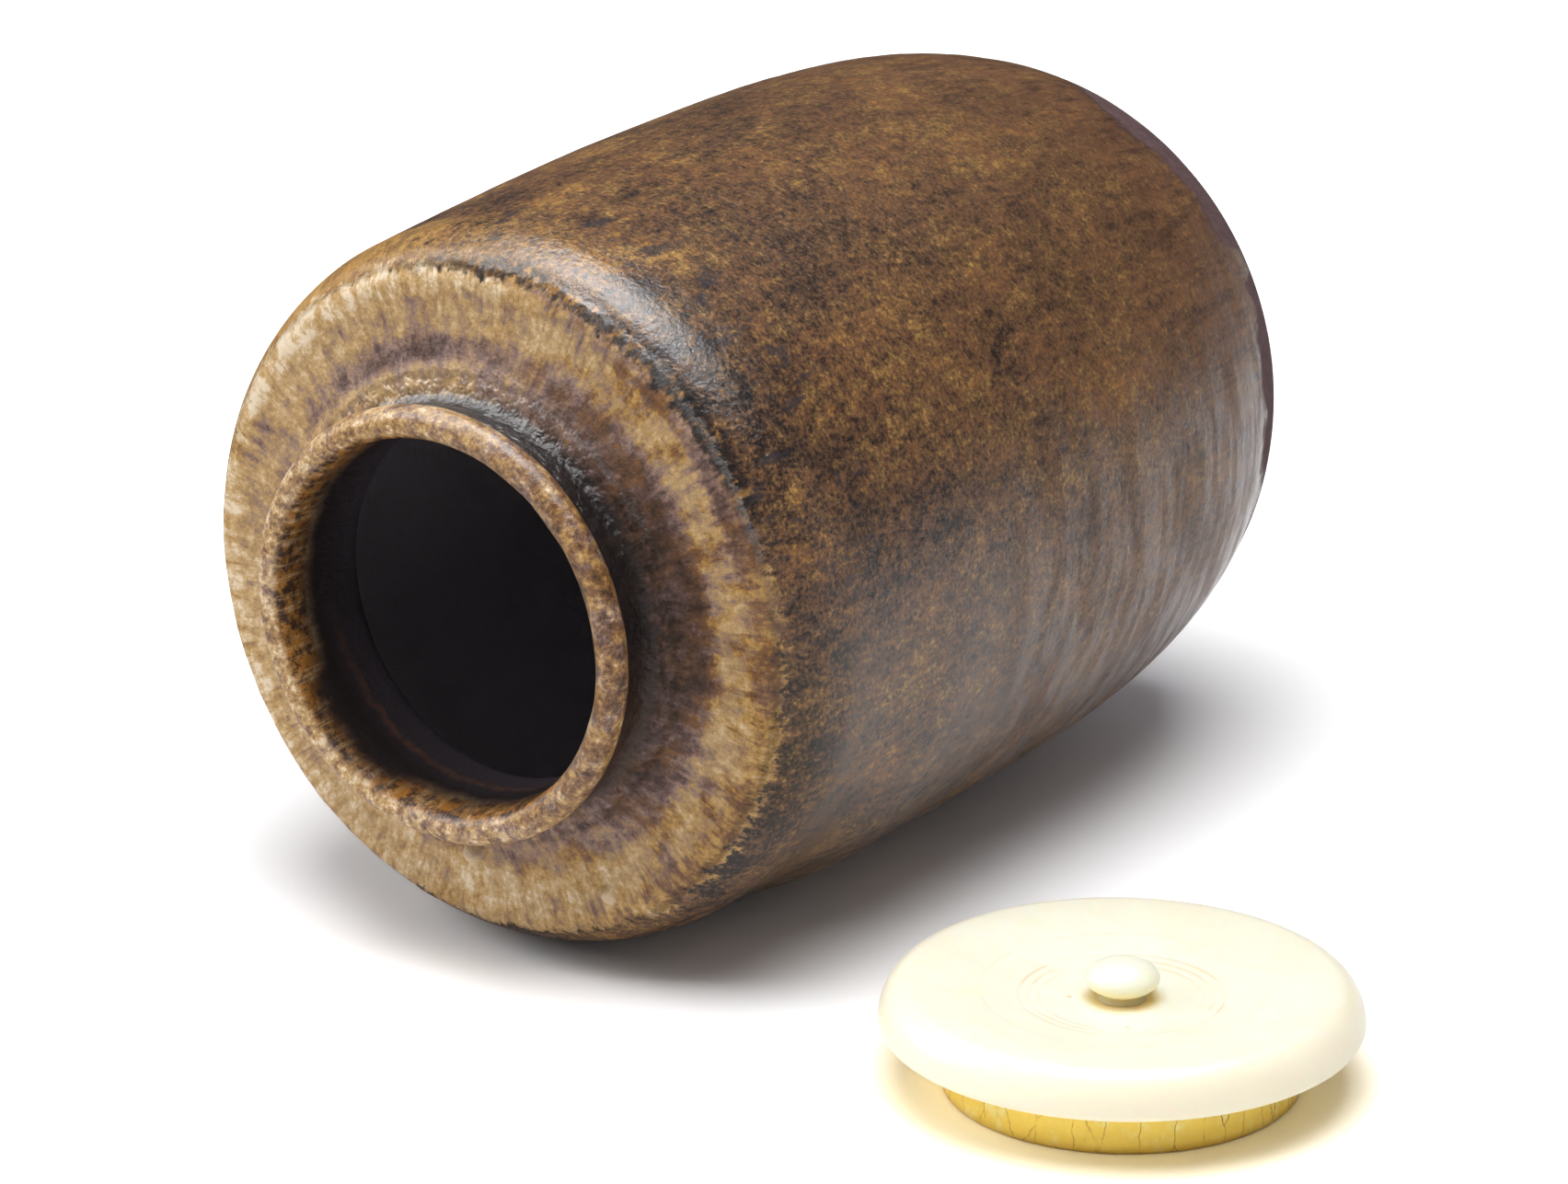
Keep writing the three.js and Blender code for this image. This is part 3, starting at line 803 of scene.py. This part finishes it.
    # Neck and lip
    neck = tones(turn.around(NECK_LIGHTNESS) + grained * 0.3, black=0, dusk=0.3, plum=0.7, tan=1)
    neck_edge = along + grains * 2.0 + blotches * 1.6 - 1.8
    surface = mix(neck_edge.ease(slope_end + 0.1, slope_end + 1.3), surface, neck)
    lip_light = turn.around(LIP_LIGHTNESS) + mottle * 2.5 + flecks - 1.7
    lip = tones(lip_light, umber=0, plum=0.25, mauve=0.5, tan=0.75, cream=1)
    lip_amber = tones(lip_light, umber=0, amber_brown=0.4, gold=0.8, cream=1)
    lip = mix(speck_hue.ease(0.34, 0.54) * turn.around(LIP_AMBER), lip, lip_amber)
    surface = mix((along + mottle * 1.8 - 0.9).ease(lip_start + 0.1, lip_start + 0.6), surface, lip)
    edge = mix(mottle.ease(0.42, 0.58), colours.umber, colours.amber)
    pale_edge = mix(blotches.ease(0.42, 0.58), colours.mauve, colours.tan)
    edge = mix(flow.towards(62, 0.3, 0.7), edge, pale_edge)
    at_edge = along.band(lip_end - 0.9, lip_end + 1.5, 0.8) * streaks.ease(0.36, 0.54, 0.45, 1.0)
    surface = mix(at_edge, surface, edge)

    # The inside, darker in front of the throat and lighter deeper in, where the lighter colour is painted light in
    # the dark interior, with a faint rusty line
    inside = tones(along * (1 / 20) - lip_end / 20, inside=0.15, throat=0.5, hollow=1)
    rust_line = (along + blotches * 1.6 - 0.8).band(lip_end + 4.6, lip_end + 4.9, 0.5)
    rust_line = rust_line * flow.towards(195, 0.3, 0.9) * mottle.ease(0.35, 0.6, 0.05, 0.3)
    chipped = flow.towards(LIP_CHIP["degrees"], 0.88, 0.985)
    depth = along + mottle * 2.4 + blotches * 1.6 - 2.0 + chipped * 1.7
    surface = mix(depth.ease(lip_end - 0.5, lip_end + 3.0), surface, mix(rust_line, inside, colours.rust))
    for thing in (GLAZE_LUMP, GLAZE_CRUMB):
        bearing = math.radians(thing["degrees"])
        centre = (thing["from_axis"] * math.sin(bearing), -thing["height_up"], thing["from_axis"] * math.cos(bearing))
        pale = place.spot(centre, thing["radius"] * 0.5, thing["radius"] * 0.6)
        surface = mix(pale * 0.6, surface, colours.cream)

    # Bare clay round the foot, under a ragged edge of the glaze with one run
    edge_noise = flow.stretch(1, 1, 0.4).noise(9, 4, 0.6)
    run = flow.towards(60, 0.9975, 0.9997)
    glazed = (along + edge_noise * 12 + grains * 2.5 + run * 4).ease(20.6, 22.2)
    clay = mix(grains.ease(0.35, 0.65, 0.0, 0.4), colours.clay, colours.dusk)

    # Gloss and relief
    sloped = ragged.band(crest - 0.2, slope_end - 1.2, 0.8)
    lower = along.ease(62, 48)
    satin = turn.around(BODY_GLOSS) * (lower * (rings.ease(0.38, 0.62, 0.5, 1.15) - 1.0) + 1.0)
    shine = satin.blend((along + grains * 3 + blotches * 4).ease(79, 82), turn.around(CORNER_GLOSS))
    shine = shine.blend(along.band(slope_end - 2, lip_start - 0.4, 0.6), turn.around(NECK_GLOSS))
    coat = glazed * shine.blend(sloped, 0.25) * along.ease(lip_end + 5.5, lip_end + 3.5)
    pits = fine_pits(place, 1.4, 0.14, 0.5)
    peel = place.noise(1.7, 3, 0.6)
    fine = place.shift(5, 5, 5).noise(0.5, 3, 0.6)
    cove_pits = along.band(slope_end - 1, lip_start, 1.0) * place.noise(1.1, 2, 0.6)
    grainy, ringed = speckle * sloped, rings * lower
    height = (peel * 0.15 + grains * 0.10 + fine * 0.05 + pits * -0.07 + glazed * 0.12
              + streaks * low_part * 0.05 + cove_pits * 0.22 + grainy * 0.25 + ringed * 0.06)
    glass = (peel * 0.09 + fine * 0.08 + grains * 0.09 + pits * -0.05 + cove_pits * 0.45 + ringed * 0.06
             + grainy * 0.25)
    finish_tree(tree, "ShaderNodeOutputMaterial", "ShaderNodeBsdfPrincipled", {
        "Base Color": mix(glazed, clay, surface), "Roughness": glazed.ease(0, 1, 0.75, 0.46) + flecks * 0.12,
        "Normal": height.bump(), "Specular IOR Level": 0.05, "Coat Weight": coat, "Coat Roughness": 0.09,
        "Coat IOR": 1.5, "Coat Normal": glass.bump()})
    return material


def lid_mesh(name, outline, columns, wheel, radius, height, third, start=0.0):
    """A closed surface round the lid's axis.

    radius and height hold the places of its points, for each row or each point, and third the flow's third
    part. wheel is the radius at which the flow is unrolled, and start the angle of the first column.
    """
    turn = np.arange(columns)[None, :] / columns * 2 * np.pi + start
    across, ahead = np.cos(turn), np.sin(turn)
    points = np.stack(np.broadcast_arrays(radius * across, radius * ahead, height), axis=-1)
    flow = np.stack(np.broadcast_arrays(wheel * across, wheel * ahead, third), axis=-1)
    axis = np.array(LID_AXIS)
    poles = [axis + (0, 0, outline.points[end, 1]) for end in (0, -1)]
    return turned_mesh(name, points + axis, *poles, flow)


def disc_outline(lid):
    """The disc's outline, from under its boss, round the rim and over the hollow to its middle."""
    rim_height = lid.boss_height + lid.rim_under_height
    crest_radius = lid.rim - lid.rim_top_width
    outline = Outline(POLE, lid.boss_bottom)
    outline.straight("boss", (lid.boss, lid.boss_bottom), 5)
    outline.straight("boss wall", (lid.boss, lid.boss_height), 4)
    under = (lid.rim - lid.rim_under_width, rim_height)
    outline.straight("underside", (under[0], lid.boss_height), 6)
    outline.add("rim under", arc(under, lid.rim_under_width, lid.rim_under_height, -90, 0, 12))
    top_height = lid.crest_height - rim_height
    outline.add("rim top", arc((crest_radius, rim_height), lid.rim_top_width, top_height, 0, 90, 22))
    floor_height = lid.crest_height - lid.dish_depth
    t = np.linspace(0, 1, 120)
    outline.add("dish", stretch_between(outline.last, (lid.dish_floor, floor_height), t, smooth(t)))
    outline.straight("floor", (0.0004, floor_height), 10)
    return outline.finish("boss")


TURNED_RINGS = (0.0063, 0.0071, 0.0079)  # radii of the fine rings round the knob
FAINT_RING = 0.0109


def disc_mesh(lid, outline):
    """The disc as one closed surface, with each fine ring cut as a bell curve across its radius."""
    radius, height = outline.points[:, :1], outline.points[:, 1:]
    on_top = height > lid.crest_height - lid.dish_depth - 1e-6
    cut = sum(bell(radius - ring, lid.ring_width) for ring in TURNED_RINGS)
    cut = cut + 0.4 * bell(radius - FAINT_RING, lid.ring_width * 2)
    height = height - lid.ring_depth * cut * on_top
    return lid_mesh("lid disc", outline, lid.columns, lid.rim / MM, radius, height, radius / MM)


def knob_outline(lid):
    """The knob's outline: a peg, a stem that flares onto the disc and an ellipse for the button."""
    disc_floor = lid.crest_height - lid.dish_depth
    seat = disc_floor + SEAT_GAP
    middle = KNOB_HIGH.z - lid.knob_half
    waist_height = (disc_floor + middle - lid.knob_half * 0.6) / 2
    outline = Outline(0.0003, KNOB_LOW.z)
    outline.straight("peg end", (lid.peg, KNOB_LOW.z), 4)
    outline.straight("peg", (lid.peg, seat), 5)
    outline.straight("seat", (lid.stem + lid.stem_flare, seat), 3)
    outline.add("stem", eased(outline.last, (lid.stem, waist_height), 8))
    start = math.degrees(math.acos(lid.stem / lid.knob))
    button = arc((0, middle), lid.knob, lid.knob_half, -start, 87, 44)
    outline.straight("neck", button[0], 4)
    outline.add("button", button)
    return outline.finish("peg end")


def knob_mesh(lid, outline):
    """The knob as one closed surface of revolution that follows its outline."""
    _, along, radius, height = grid(outline, lid.knob_columns)
    return lid_mesh("lid knob", outline, lid.knob_columns, lid.knob / MM, radius, height, along)


def lining_outline(lid):
    """The gold paper's outline: a shallow cup round the boss, open at the top."""
    outline = Outline(POLE, 0)
    edge, inside = 0.00035, lid.lining - lid.paper
    outline.straight("under", (lid.lining - edge, 0), 14)
    outline.add("edge", arc((lid.lining - edge, edge), edge, edge, -90, 0, 6))
    outline.straight("band", (lid.lining, lid.lining_top), 26)
    outline.straight("top", (inside, lid.lining_top), 3)
    outline.straight("inner band", (inside, lid.paper), 6)
    outline.straight("inner", (POLE, lid.paper), 6)
    return outline.finish("under")


# Creases of the gold band: degrees round from the front, degrees that it leans over the height, sharpness
CREASES = ((-52, 3, 0.9), (-40, 26, 0.8), (-24, -3, 0.6), (-8, 5, 1.0), (4, -4, 0.8), (9, 2, 0.7),
           (24, 6, 1.0), (33, -5, 0.8), (47, 4, 0.9), (71, -6, 0.8), (96, 8, 0.9), (131, -5, 0.9),
           (160, 12, 0.8), (188, -4, 0.8), (215, 6, 1.0), (247, -9, 0.7), (281, 4, 0.9))


def crease_field(turns, rise):
    """How near a place on the band is to a crease, from 0 to 1: a bell curve across each leaning line."""
    field = np.zeros(turns.shape)
    for degrees, lean, sharpness in CREASES:
        across = degrees_from(turns, degrees + lean * (rise - 0.5))
        field += 0.6 * sharpness * bell(across, 0.8)
    return field


def lining_mesh(lid, outline):
    """The gold paper, pressed in along its creases and a little uneven between them."""
    turns, along, radius, height = grid(outline, lid.columns)
    band = (radius > lid.lining - lid.paper / 2) * np.clip(height / 0.0005, 0, 1)
    creases = crease_field(turns, height / lid.lining_top)
    uneven = lattice_noise(turns, height / MM, 60, 1.3, 21) - 1
    out = radius - np.clip(lid.crease * (creases - 0.4 * uneven) * band, 0, lid.paper * 0.6)
    mesh = lid_mesh("gold lining", outline, lid.columns, lid.lining / MM, out, height, along, -np.pi / 2)
    attribute = mesh.attributes.new("crease", "FLOAT", "POINT")
    attribute.data.foreach_set("value", np.append((creases * band).ravel(), [0, 0]).astype(np.float32))
    return mesh


def ivory_nodes(place):
    """Ivory's long, slightly wavy grain and its wide clouds."""
    return [place.stretch(0.25, 1, 1).noise(1.1, 3, 0.5), place.noise(9, 3, 0.55)]


IVORY_SPECKS = ((-3.4, -2.2, 0.16), (3.6, -4.6, 0.12), (-7.6, 3.1, 0.12))


def ivory_material(colours, name, on_disc):
    """Turned ivory: cream with honey grain, blushing at the rim where it is also painted darker as shade, with
    painted amber light round the knob's stem and under its button, and with light passing a little way in.
    """
    material, tree = new_material(name)
    place = millimetres(tree, LID_AXIS)
    streak, cloud = place_group("ivory grain", ivory_nodes, {"Vector": place}, ["Streak", "Cloud"])
    surface = mix(cloud.ease(0.35, 0.75, 0.0, 0.5), colours.cream, colours.honey)
    surface = mix(streak.ease(0.5, 0.75, 0.0, 0.35), surface, colours.honey)
    if on_disc:
        radius = flow_wire(tree).part("Z")
        # Painted shade: the rim is darker as well as pinker, partly the ivory's own colour
        surface = mix(radius.ease(14.5, 18.5, 0.0, 0.8), surface, colours.blush_and_rim_shade)
        kept = place.shift(3, 0, 0).noise(6, 2, 0.5).ease(0.40, 0.60, 0.15, 1.0)
        for ring in TURNED_RINGS + (FAINT_RING,):
            mask = radius.band(ring / MM - 0.04, ring / MM + 0.04, 0.16) * kept
            surface = mix(mask * (0.12 if ring == FAINT_RING else 0.32), surface, colours.stain)
        # Painted light: amber round the knob's stem stands in for light passing through the ivory into the shade
        # under the button
        surface = mix(radius.band(0.0, 1.9, 1.8) * 0.75, surface, colours.painted_amber_glow)
        level = (LID_AXIS.z + DISC_HIGH.z) / MM - 1.3
        for x, y, reach in IVORY_SPECKS:
            surface = mix(place.spot((x, y, level), reach, reach * 0.8) * 0.55, surface, colours.stain)
    else:
        top = (KNOB_HIGH.z - LID_AXIS.z) / MM
        # Painted light: the lower part of the button is amber, for light passing through it in its own shade
        surface = mix(place.part("Z").ease(top - 1.0, top - 2.6, 0.0, 0.7), surface, colours.painted_amber_glow)
    height = streak * 0.006 + place.noise(3.0, 2, 0.5) * 0.02
    finish_tree(tree, "ShaderNodeOutputMaterial", "ShaderNodeBsdfPrincipled", {
        "Base Color": surface, "Roughness": cloud.ease(0.3, 0.7, 0.29, 0.34), "Normal": height.bump(),
        "Specular IOR Level": 0.35, "Subsurface Weight": 0.5, "Subsurface Radius": (1.0, 0.62, 0.3),
        "Subsurface Scale": 0.0036})
    return material


def gold_material(colours):
    """Gold leaf on paper: worn pale places, fine wrinkles, dark creases and painted shade toward its bottom edge."""
    material, tree = new_material("gold_leafed_paper")
    place, flow = millimetres(tree, LID_AXIS), flow_wire(tree)
    crease = source(tree, "ShaderNodeAttribute", "Fac", attribute_name="crease")
    worn = place.noise(1.6, 4, 0.65)
    waver = flow.node("ShaderNodeTexNoise", {"Vector": flow, "Scale": 0.9, "Detail": 3.0}, "Color")
    bent = waver.node("ShaderNodeVectorMath", {0: waver, 1: (0.5, 0.5, 0.5), 2: flow.stretch(1, 1, 0.26)},
                      operation="MULTIPLY_ADD")
    torn = bent.node("ShaderNodeTexVoronoi", {"Vector": bent, "Scale": 0.42}, feature="DISTANCE_TO_EDGE")
    cracks = torn.ease(0.003, 0.018, 0.75, 0.0) * worn.ease(0.36, 0.56, 0.15, 0.9)
    leaf = mix(worn.ease(0.5, 0.7), colours.gold, colours.pale_gold)
    pits = fine_pits(place, 0.8, 0.1, 0.3)
    # The last mask darkens the paper toward the table: painted shade
    for mask in (pits * 0.5, crease.ease(0.35, 1.0, 0.0, 0.75), cracks, place.part("Z").ease(0.9, 0.1, 0.0, 0.35)):
        leaf = mix(mask, leaf, colours.crease)
    height = place.stretch(1, 1, 0.4).noise(0.5, 4, 0.7) * 0.09 + worn * 0.05 + cracks * -0.05
    finish_tree(tree, "ShaderNodeOutputMaterial", "ShaderNodeBsdfPrincipled", {
        "Base Color": leaf, "Roughness": worn.ease(0.35, 0.7, 0.34, 0.52), "Normal": height.bump(),
        "Metallic": 0.5})
    return material


class CADDY_OT_jar(bpy.types.Operator):
    """Makes the stoneware jar and its glaze"""

    bl_idname = "caddy.jar"
    bl_label = "Jar"

    def execute(self, context):
        sizes = context.scene.caddy_jar
        outline = jar_outline(sizes)
        stations = {name: value / MM for name, value in outline.end.items()}
        glaze = glaze_material(context.scene.caddy_glaze, stations)
        return place_piece("glazed_jar", jar_mesh(sizes, outline), glaze, "jar", "stoneware_glaze", "jar_body")


class CADDY_OT_disc(bpy.types.Operator):
    """Makes the turned ivory disc of the lid"""

    bl_idname = "caddy.disc"
    bl_label = "Lid disc"

    def execute(self, context):
        sizes = context.scene.caddy_lid
        ivory = ivory_material(context.scene.caddy_ivory, "turned_ivory", True)
        return place_piece("ivory_disc", disc_mesh(sizes, disc_outline(sizes)), ivory, "lid", "ivory", "lid_disc")


class CADDY_OT_knob(bpy.types.Operator):
    """Makes the ivory knob of the lid"""

    bl_idname = "caddy.knob"
    bl_label = "Lid knob"

    def execute(self, context):
        sizes = context.scene.caddy_lid
        ivory = ivory_material(context.scene.caddy_ivory, "knob_ivory", False)
        return place_piece("ivory_knob", knob_mesh(sizes, knob_outline(sizes)), ivory, "lid", "ivory", "lid_knob")


class CADDY_OT_lining(bpy.types.Operator):
    """Makes the gold-leafed paper under the lid"""

    bl_idname = "caddy.lining"
    bl_label = "Gold lining"

    def execute(self, context):
        sizes = context.scene.caddy_lid
        gold = gold_material(context.scene.caddy_ivory)
        mesh = lining_mesh(sizes, lining_outline(sizes))
        return place_piece("gold_lining", mesh, gold, "lid", "gold_leaf", "lid_lining")


def add_camera(stage):
    """The camera: back from its target by the distance along azimuth and elevation, then rolled."""
    cos_e, sin_e = math.cos(stage.elevation), math.sin(stage.elevation)
    back = Vector((math.sin(stage.azimuth) * cos_e, -math.cos(stage.azimuth) * cos_e, sin_e))
    right = Vector((math.cos(stage.azimuth), math.sin(stage.azimuth), 0))
    up = back.cross(right)
    cos_r, sin_r = math.cos(stage.roll), math.sin(stage.roll)
    right, up = right * cos_r + up * sin_r, up * cos_r - right * sin_r
    data = bpy.data.cameras.new("photo camera")
    data.sensor_fit, data.sensor_width, data.lens = "HORIZONTAL", 36, stage.focal
    data.clip_start, data.clip_end = 0.01, 100
    camera = add_object("photo camera", data)
    place = Vector(stage.target) + back * stage.distance
    camera.matrix_world = Matrix.Translation(place) @ Matrix((right, up, back)).transposed().to_4x4()
    bpy.context.scene.camera = camera


def add_floor(stage):
    """A wide plain floor under the origin, with a painted warm glow under the lid, and lifted to white for camera
    rays.
    """
    half = stage.floor_size / 2
    corners = [(-half, -half, 0), (half, -half, 0), (half, half, 0), (-half, half, 0)]
    mesh = bpy.data.meshes.new("floor")
    mesh.from_pydata(corners, [], [(0, 1, 2, 3)])
    material, tree = new_material("pale_floor")
    rays = put(tree, "ShaderNodeLightPath").outputs
    place = source(tree, "ShaderNodeTexCoord", "Object")
    # Painted light: warm colour on the floor round the lid stands in for light thrown by the ivory and gold
    painted_glow_near_lid = place.spot((LID_AXIS.x, LID_AXIS.y, 0), 0.016, 0.009)
    pale = mix(painted_glow_near_lid * stage.painted_glow_share, stage.floor, stage.warm)
    far_left = place.part("X").ease(-0.04, -0.11) * Wire(tree, rays["Is Glossy Ray"])
    pale = mix(far_left, pale, (0.12, 0.12, 0.12, 1.0))
    lift = Wire(tree, rays["Is Camera Ray"]).ease(0, 1, 1.0, stage.floor_lift)
    lifted = pale.node("ShaderNodeVectorMath", {0: pale, "Scale": lift}, operation="SCALE")
    finish_tree(tree, "ShaderNodeOutputMaterial", "ShaderNodeBsdfDiffuse", {"Color": lifted})
    mesh.materials.append(material)
    floor = add_object("floor", mesh)


def add_world():
    """A dim room with a pale horizon, which only reflections show; fill light and a pale view otherwise."""
    world = bpy.data.worlds.new("pale room")
    world.use_nodes = True
    bpy.context.scene.world = world
    tree = world.node_tree
    tree.nodes.clear()
    room = source(tree, "ShaderNodeTexCoord", "Generated").part("Z").ramp(
        ((0.0, (0.4, 0.4, 0.41, 1)), (0.05, (0.2, 0.2, 0.21, 1)), (0.13, (0.05, 0.05, 0.054, 1)),
         (1.0, (0.05, 0.05, 0.054, 1))))
    rays = put(tree, "ShaderNodeLightPath").outputs
    light = mix(Wire(tree, rays["Is Glossy Ray"]), (0.20, 0.20, 0.206, 1), room)
    seen = mix(Wire(tree, rays["Is Camera Ray"]), light, (0.97, 0.975, 0.985, 1))
    finish_tree(tree, "ShaderNodeOutputWorld", "ShaderNodeBackground", {"Color": seen, "Strength": 1.0})


def add_softbox(name, direction, distance, width, watts, in_gloss):
    """A square lamp that faces the jar's middle from a direction, and either lights or shows in the gloss."""
    aim = Vector(direction).normalized()
    data = bpy.data.lights.new(name, "AREA")
    data.shape, data.size, data.energy = "SQUARE", width, watts
    lamp = add_object(name, data)
    middle = Vector((0, 0, JAR_AXIS.z))
    lamp.matrix_world = Matrix.Translation(middle + aim * distance) @ aim.to_track_quat("Z", "Y").to_matrix().to_4x4()
    lamp.visible_diffuse, lamp.visible_glossy = not in_gloss, in_gloss


class CADDY_OT_stage(bpy.types.Operator):
    """Makes the camera, the floor, the room and the lamps"""

    bl_idname = "caddy.stage"
    bl_label = "Stage"

    def execute(self, context):
        stage = context.scene.caddy_stage
        add_camera(stage)
        add_floor(stage)
        add_world()
        above, beside = stage.overhead_distance, stage.side_distance
        add_softbox("overhead light", (0.12, -0.20, 1.0), above, stage.overhead_size, stage.overhead_power, False)
        add_softbox("side light", (-0.78, -0.50, 0.50), beside, stage.side_size, stage.side_power, False)
        add_softbox("overhead gloss", (-0.11, 0.10, 1.0), above, stage.overhead_gloss_size, stage.overhead_gloss,
                    True)
        add_softbox("side gloss", (-0.82, -0.30, 0.50), beside, stage.side_size, stage.side_gloss, True)
        context.scene.view_settings.view_transform = "Standard"
        return {"FINISHED"}


class CADDY_PT_panel(bpy.types.Panel):
    """Lists the steps that dress the tea caddy"""

    bl_idname = "CADDY_PT_panel"
    bl_label = "Tea Caddy"
    bl_space_type = "VIEW_3D"
    bl_region_type = "UI"
    bl_category = "Tea Caddy"

    def draw(self, context):
        for step in STEPS:
            self.layout.operator(step.bl_idname)


GROUPS = {"caddy_jar": JarSizes, "caddy_glaze": GlazeColours, "caddy_lid": LidSizes,
          "caddy_ivory": LidColours, "caddy_stage": StageSettings}
STEPS = (CADDY_OT_stage, CADDY_OT_jar, CADDY_OT_disc, CADDY_OT_knob, CADDY_OT_lining)


def register():
    """Registers the classes and hangs their settings on the scene."""
    for group in GROUPS.values():
        bpy.utils.register_class(group)
    for step in STEPS + (CADDY_PT_panel,):
        bpy.utils.register_class(step)
    for name, group in GROUPS.items():
        setattr(bpy.types.Scene, name, PointerProperty(type=group))


def unregister():
    """Takes away what register added."""
    for name in GROUPS:
        delattr(bpy.types.Scene, name)
    for step in reversed(STEPS + (CADDY_PT_panel,)):
        bpy.utils.unregister_class(step)
    for group in reversed(tuple(GROUPS.values())):
        bpy.utils.unregister_class(group)


def main():
    """Registers everything, and makes the stage and the pieces."""
    register()
    bpy.ops.caddy.stage()
    bpy.ops.caddy.jar()
    bpy.ops.caddy.disc()
    bpy.ops.caddy.knob()
    bpy.ops.caddy.lining()


if __name__ == "__main__":
    main()
